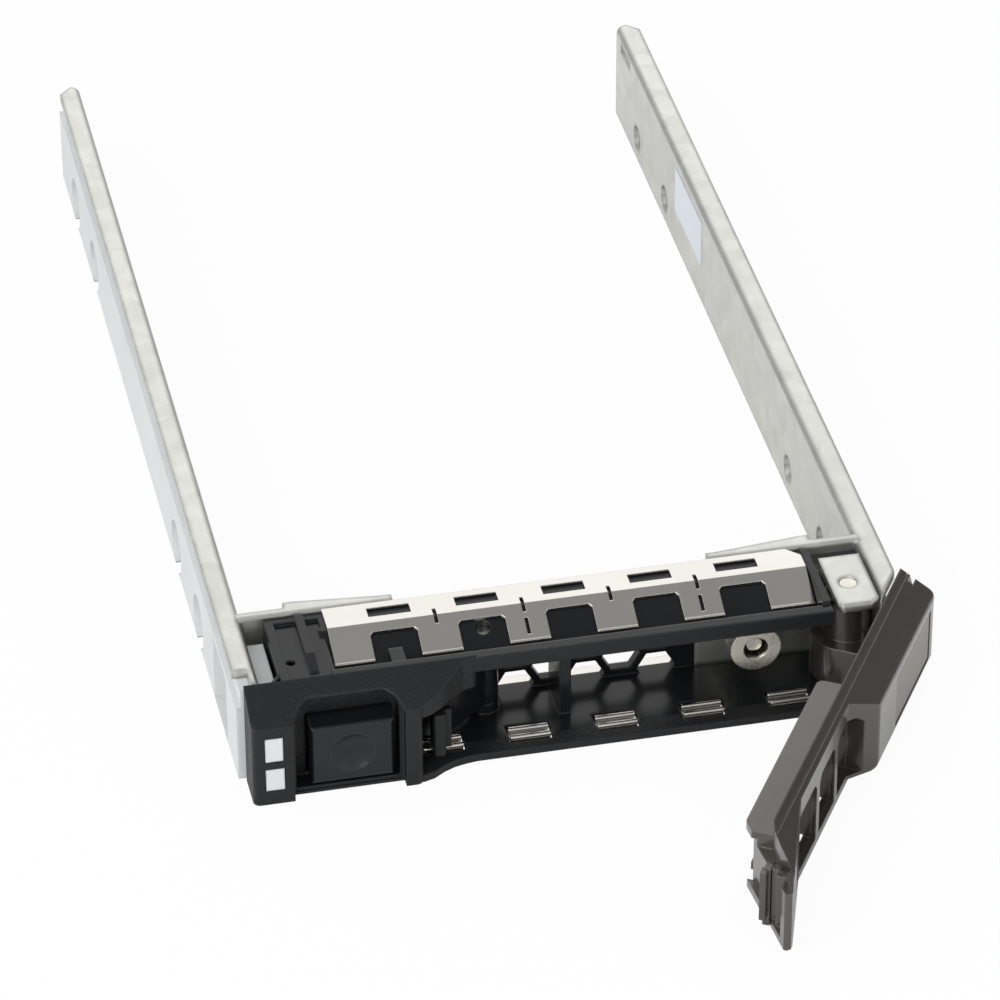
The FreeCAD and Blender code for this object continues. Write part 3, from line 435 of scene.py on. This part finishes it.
# %% Moulded skin
skin, entry, leave = new_group(
    "moulded_skin",
    {"Scale": 1500.0, "Skin Ends": -0.008, "Rough Skin": 0.55, "Rough Inside": 0.3},
    {"Height": "Float", "Roughness": "Float"})
coords = add(skin, "ShaderNodeTexCoord")
split = add(skin, "ShaderNodeSeparateXYZ")
front = add(skin, "ShaderNodeMath", operation="LESS_THAN")
pebble = add(skin, "ShaderNodeTexVoronoi", feature="SMOOTH_F1")
wave = add(skin, "ShaderNodeTexNoise", {"Detail": 2.0})
mixed = add(skin, "ShaderNodeMath", operation="MULTIPLY")
raised = add(skin, "ShaderNodeMath", operation="MULTIPLY")
spread = add(skin, "ShaderNodeMapRange")
wire(skin,
     (coords, "Object", split, 0),
     (split, "Y", front, 0),
     (entry, "Skin Ends", front, 1),
     (coords, "Object", pebble, "Vector"),
     (coords, "Object", wave, "Vector"),
     (entry, "Scale", pebble, "Scale"),
     (entry, "Scale", wave, "Scale"),
     (pebble, "Distance", mixed, 0),
     (wave, "Fac", mixed, 1),
     (mixed, 0, raised, 0),
     (front, 0, raised, 1),
     (front, 0, spread, "Value"),
     (entry, "Rough Inside", spread, "To Min"),
     (entry, "Rough Skin", spread, "To Max"),
     (raised, 0, leave, "Height"),
     (spread, "Result", leave, "Roughness"))
print("group:", skin.name)

# %% [markdown]
# ## Finishes
# Every finish is one Principled surface. Its colour passes through the tone patches,
# for zinc also the crystals and the painted shade along the folds, and last the painted
# highlights and shade on the edges. Its roughness and bump come from the grain or the
# skin. Colours are written as screen values, because that is how one reads them off a
# swatch, and turned into linear ones.


# %% Colour and placing helpers
def screen(red, green, blue):
    """Linear colour from screen values of 0 to 255."""
    def linear(part):
        part = part / 255
        return part / 12.92 if part <= 0.04045 else ((part + 0.055) / 1.055) ** 2.4
    return linear(red), linear(green), linear(blue), 1.0


def placed(tree, group, values):
    """Places a group in a material with its own values."""
    return add(tree, "ShaderNodeGroup", values, node_tree=group)


print("mid grey, linear:", round(screen(128, 128, 128)[0], 4))

# %% Finish helper
GRAIN_DEPTH, SKIN_DEPTH = 0.1 * MM, 0.25 * MM
COAT_ROUGHNESS = 0.12
FINISHES = {}


def finish(name, color, metallic, rough, bump, grain_scale=None, skin_scale=None,
           tones=(0.93, 1.04), patch=80.0, zinc=None, specular=0.5, coat=0.0,
           edge=(0.12 * MM, 0.0), painted_edge_color=None):
    """A finish built on the groups; zinc is crystal scale, crystal depth, depth of the painted
    fold shade.
    """
    material, tree = new_material(name)
    output = add(tree, "ShaderNodeOutputMaterial")
    surface = add(tree, "ShaderNodeBsdfPrincipled", {
        "Metallic": metallic, "Specular IOR Level": specular,
        "Coat Weight": coat, "Coat Roughness": COAT_ROUGHNESS})
    if skin_scale:
        texture = placed(tree, skin, {
            "Scale": skin_scale, "Rough Skin": rough[1], "Rough Inside": rough[0]})
    else:
        texture = placed(tree, grain, {
            "Scale": grain_scale, "Rough Low": rough[0], "Rough High": rough[1]})
    shade = placed(tree, patches, {
        "Color": color, "Scale": patch, "Darkest": tones[0], "Lightest": tones[1]})
    # Zinc gets its crystals, then the painted shade along its folds.
    if zinc:
        crystals = placed(tree, spangle, {"Scale": zinc[0], "Depth": zinc[1]})
        fold_shaded = placed(tree, fold, {"Depth": zinc[2]})
        wire(tree, (shade, "Color", crystals, "Color"), (crystals, "Color", fold_shaded, "Color"))
        shade = fold_shaded
    rim = placed(tree, edges, {
        "Radius": edge[0], "Amount": edge[1], "Painted Edge Color": painted_edge_color or color})
    relief = add(tree, "ShaderNodeBump", {
        "Strength": bump, "Distance": SKIN_DEPTH if skin_scale else GRAIN_DEPTH})
    wire(tree,
         (shade, "Color", rim, "Color"),
         (rim, "Color", surface, "Base Color"),
         (rim, "Normal", relief, "Normal"),
         (texture, "Height", relief, "Height"),
         (texture, "Roughness", surface, "Roughness"),
         (relief, "Normal", surface, "Normal"),
         (surface, 0, output, "Surface"))
    FINISHES[name] = material


print("finish helper ready")

# %% [markdown]
# ### Zinc sheet
# The rails and the hinge bracket are hot-dip coated sheet: pale and faintly mottled,
# with painted shade along folds and cut edges. It is nearly all metal, and a wide spread
# of roughness keeps its reflections soft.

# %% Zinc sheet
# The dark edge colour and the fold depth paint shade on edges and folds.
finish("galvanised", screen(211, 211, 206), metallic=0.9, rough=(0.28, 0.44), bump=0.08,
       grain_scale=900, zinc=(420, 0.06, 0.42), tones=(0.93, 1.02), patch=300,
       edge=(0.9 * MM, 0.8), painted_edge_color=screen(118, 121, 120))
print("finishes:", len(FINISHES))

# %% [markdown]
# ### Bright steel
# The spring clips are thin stainless strip, almost a mirror. The hinge pin, collar and
# rivets are plated and a little uneven. The spring wire is plain drawn steel. All
# three are full metal. Roughness, tone and bump tell them apart, and the clips and plated
# parts also have painted highlights on their edges.

# %% Bright steel
# The pale edge colour is a painted highlight.
finish("stainless", screen(221, 218, 213), metallic=1.0, rough=(0.12, 0.17), bump=0.01,
       grain_scale=900, tones=(0.95, 1.02),
       edge=(0.15 * MM, 0.4), painted_edge_color=screen(250, 248, 244))
# The pale edge colour is a painted highlight.
finish("plated_steel", screen(224, 221, 210), metallic=1.0, rough=(0.2, 0.36), bump=0.12,
       grain_scale=1800, tones=(0.84, 1.06), patch=500,
       edge=(0.2 * MM, 0.5), painted_edge_color=screen(240, 238, 230))
finish("spring_steel", screen(176, 176, 172), metallic=1.0, rough=(0.22, 0.34), bump=0.05,
       grain_scale=2500)
print("finishes:", len(FINISHES))

# %% [markdown]
# ### Mouldings of the bezel
# The bezel is black plastic with a pebbled front and painted highlights on its edges.
# The button is a finer, cooler black, with brighter painted highlights on its edges. The
# light pipe is frosted and pale, with painted shade on its edges. A translucent shader
# would suit it, but the rail right behind it leaves nothing to see, so it is opaque here.

# %% Mouldings of the bezel
# The paler edge colour is a painted highlight.
finish("black_plastic", screen(24, 25, 27), metallic=0.0, rough=(0.2, 0.46), bump=0.4,
       skin_scale=2600, tones=(0.85, 1.1), specular=0.32,
       edge=(0.35 * MM, 0.35), painted_edge_color=screen(66, 67, 70))
# The pale edge colour, at full amount, is a painted highlight.
finish("button_plastic", screen(18, 23, 26), metallic=0.0, rough=(0.24, 0.36), bump=0.3,
       grain_scale=3800, tones=(0.8, 1.2), specular=0.38,
       edge=(0.22 * MM, 1.0), painted_edge_color=screen(104, 116, 120))
# The darker edge colour is painted shade.
finish("frosted_plastic", screen(213, 215, 216), metallic=0.0, rough=(0.4, 0.5), bump=0.10,
       grain_scale=2500, tones=(0.93, 1.0),
       edge=(0.3 * MM, 0.5), painted_edge_color=screen(172, 175, 178))
print("finishes:", len(FINISHES))

# %% [markdown]
# ### Handle
# The handle is brown-grey plastic with a metallic lacquer. A partly metallic base
# gives the lacquer's depth, and a clear coat the sharp highlights on top. The panel
# set in its face is the same colour, paler and matt.

# %% Handle
# The paler edge colour is a painted highlight.
finish("handle_plastic", screen(72, 69, 65), metallic=0.6, rough=(0.2, 0.3), bump=0.06,
       grain_scale=3000, tones=(0.88, 1.1), specular=0.6, coat=0.9,
       edge=(0.3 * MM, 0.5), painted_edge_color=screen(118, 112, 105))
# The dark edge colour is painted shadow round the recessed panel.
finish("label_panel", screen(132, 128, 123), metallic=0.3, rough=(0.34, 0.42), bump=0.06,
       grain_scale=2500, tones=(0.97, 1.02),
       edge=(0.2 * MM, 0.6), painted_edge_color=screen(60, 57, 54))
print("finishes:", len(FINISHES))

# %% [markdown]
# ### Paper label
# A plain label sticks to the inside of the right rail. It is matt, not metal, and a
# trace bluer than the zinc round it, which is enough to set it off. It is left blank.

# %% Paper label
finish("label_paper", screen(214, 218, 226), metallic=0.0, rough=(0.6, 0.7), bump=0.06,
       grain_scale=2500, tones=(0.96, 1.0))
print("finishes:", len(FINISHES))

# %% [markdown]
# ## Dressing the CAD parts
# The record names a material slot for each part. A part's mesh stays as it is, and
# only its material changes.

# %% Dress each part
slot_of = {part["node"]: part["material_slot"] for part in frame["record"]["subparts"]}
for node, slot_name in slot_of.items():
    shape = bpy.data.objects[node]
    shape.data.materials.clear()
    shape.data.materials.append(FINISHES[slot_name])
print("finished nodes:", len(slot_of))

# %% [markdown]
# ## Growing pieces with Geometry Nodes
# A coil follows a helix and a row of hems comes back at an even pitch. Both are rules
# with a few sizes, which is what Geometry Nodes are for. The result becomes a plain
# mesh in its place before anything else, because instances and modifiers don't
# survive the export.


# %% Tree helpers
def new_tree(name, sizes):
    """A geometry tree with one input for each size, and one for the material."""
    tree = bpy.data.node_groups.new(name, "GeometryNodeTree")
    tree.interface.new_socket("Geometry", in_out="OUTPUT", socket_type="NodeSocketGeometry")
    for label, default in sizes.items():
        kind = "NodeSocketInt" if isinstance(default, int) else "NodeSocketFloat"
        socket = tree.interface.new_socket(label, in_out="INPUT", socket_type=kind)
        socket.default_value = default
    tree.interface.new_socket("Material", in_out="INPUT", socket_type="NodeSocketMaterial")
    return tree, tree.nodes.new("NodeGroupInput"), tree.nodes.new("NodeGroupOutput")


def close_tree(tree, entry, leave, last, result):
    """Smooth shading, realised instances and the material, then the output."""
    smooth = add(tree, "GeometryNodeSetShadeSmooth")
    real = add(tree, "GeometryNodeRealizeInstances")
    paint = add(tree, "GeometryNodeSetMaterial")
    wire(tree,
         (last, result, smooth, "Geometry"),
         (smooth, "Geometry", real, "Geometry"),
         (real, "Geometry", paint, "Geometry"),
         (entry, "Material", paint, "Material"),
         (paint, "Geometry", leave, "Geometry"))


print("tree helpers ready")


# %% Run a tree into a plain mesh
def grow(name, tree, values, place, slot_name):
    """Runs a tree with its values and returns the result as a plain mesh in place."""
    seed = bpy.data.objects.new(name + "_seed", bpy.data.meshes.new(name + "_seed"))
    scene.collection.objects.link(seed)
    modifier = seed.modifiers.new("grow", "NODES")
    modifier.node_group = tree
    sockets = {item.name: item.identifier for item in tree.interface.items_tree
               if item.in_out == "INPUT"}
    for label, number in values.items():
        modifier[sockets[label]] = number
    modifier[sockets["Material"]] = FINISHES[slot_name]
    evaluated = seed.evaluated_get(bpy.context.evaluated_depsgraph_get())
    result = bpy.data.meshes.new_from_object(evaluated)
    bpy.data.objects.remove(seed)
    result.name = name
    result.transform(place)
    piece = bpy.data.objects.new(name, result)
    scene.collection.objects.link(piece)
    return piece


print("grow helper ready")

# %% [markdown]
# ## Wound springs
# The button pushes on a small compression spring, and another is wound round the hinge
# pin. The CAD has a plain tube for each. Points worked out by hand could make a coil,
# but a helix node with a round wire swept along it makes both, from that tube's box.

# %% A wire wound on a helix
wound, entry, leave = new_tree(
    "wound_spring", {"Coils": 6.0, "Radius": 1.5 * MM, "Wire": 0.25 * MM, "Length": 5 * MM})
helix = add(wound, "GeometryNodeCurveSpiral", {"Resolution": 28})
wire_section = add(wound, "GeometryNodeCurvePrimitiveCircle", {"Resolution": 10})
tube = add(wound, "GeometryNodeCurveToMesh", {"Fill Caps": True})
wire(wound,
     (entry, "Coils", helix, "Rotations"),
     (entry, "Radius", helix, "Start Radius"),
     (entry, "Radius", helix, "End Radius"),
     (entry, "Length", helix, "Height"),
     (entry, "Wire", wire_section, "Radius"),
     (helix, "Curve", tube, "Curve"),
     (wire_section, "Curve", tube, "Profile Curve"))
close_tree(wound, entry, leave, tube, "Mesh")
print("tree:", wound.name)

# %% [markdown]
# ### Button spring
# The helix is wound along Z, so it is turned to lie along Y.

# %% Button spring
WIRE = 0.25 * MM
BUTTON_COILS = 6.0

low, high = (Vector(corner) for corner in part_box("button_spring"))
middle, span = (low + high) / 2, high - low
along_y = Matrix.Rotation(-math.pi / 2, 4, "X")
along_y.translation = (middle.x, low.y + WIRE, middle.z)
button_coil = grow("button_coil", wound, {
    "Coils": BUTTON_COILS, "Radius": span.x / 2 - WIRE, "Wire": WIRE,
    "Length": span.y - 2 * WIRE}, along_y, "spring_steel")
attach(button_coil, "caddy")
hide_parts("button_spring")
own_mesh(button_coil)
print("button coil:", len(button_coil.data.polygons), "faces,", round(span.y / MM, 2), "mm long")

# %% [markdown]
# ### Hinge spring
# This spring stands upright round the pin, above the handle's hub, as the helix does,
# so it only has to be moved to its place.

# %% Hinge spring
HINGE_COILS = 9.0

low, high = (Vector(corner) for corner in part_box("handle_spring"))
middle, span = (low + high) / 2, high - low
round_pin = Matrix.Translation((middle.x, middle.y, low.z + WIRE))
handle_coil = grow("handle_coil", wound, {
    "Coils": HINGE_COILS, "Radius": span.x / 2 - WIRE, "Wire": WIRE,
    "Length": span.z - 2 * WIRE}, round_pin, "spring_steel")
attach(handle_coil, "caddy")
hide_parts("handle_spring")
print("hinge coil:", len(handle_coil.data.polygons), "faces,", round(span.z / MM, 2), "mm long")

# %% [markdown]
# ## Rolled hems
# The tips of the upper clip's fingers are rolled over, which hides their cut edges.
# Each hem is one short roll, repeated at the fingers' pitch. Six separate cylinders
# would do, but instances on a line of points need only one roll, a count and a pitch.

# %% A row of rolls
hems, entry, leave = new_tree(
    "finger_hems", {"Count": 6, "Pitch": 9.9 * MM, "Width": 4.5 * MM, "Radius": 0.25 * MM})
row = add(hems, "GeometryNodeMeshLine")
step = add(hems, "ShaderNodeCombineXYZ")
reach = add(hems, "ShaderNodeCombineXYZ")
roll_axis = add(hems, "GeometryNodeCurvePrimitiveLine")
profile = add(hems, "GeometryNodeCurvePrimitiveCircle", {"Resolution": 12})
roll = add(hems, "GeometryNodeCurveToMesh", {"Fill Caps": True})
copies = add(hems, "GeometryNodeInstanceOnPoints")
wire(hems,
     (entry, "Count", row, "Count"),
     (entry, "Pitch", step, "X"),
     (step, 0, row, "Offset"),
     (entry, "Width", reach, "X"),
     (reach, 0, roll_axis, "End"),
     (entry, "Radius", profile, "Radius"),
     (roll_axis, "Curve", roll, "Curve"),
     (profile, "Curve", roll, "Profile Curve"),
     (row, "Mesh", copies, "Points"),
     (roll, "Mesh", copies, "Instance"))
close_tree(hems, entry, leave, copies, "Instances")
print("tree:", hems.name)

# %% Hems on the upper clip
HEM_COUNT, HEM_PITCH, HEM_WIDTH = 6, 9.9 * MM, 4.5 * MM
HEM_RADIUS = 0.22 * MM
HEM_INSET = 0.02 * MM           # keeps the first hem inside the clip's side
HEM_LIFT = 0.9                  # of its radius, so each hem sinks a little into its tip

clip_low = Vector(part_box("shield_clip_top")[0])
first_hem = Matrix.Translation(
    clip_low + Vector((HEM_INSET, HEM_RADIUS, HEM_LIFT * HEM_RADIUS)))
clip_hems = grow("clip_hems", hems, {
    "Count": HEM_COUNT, "Pitch": HEM_PITCH, "Width": HEM_WIDTH, "Radius": HEM_RADIUS},
    first_hem, "stainless")
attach(clip_hems, "caddy")
print("hems:", len(clip_hems.data.polygons), "faces")
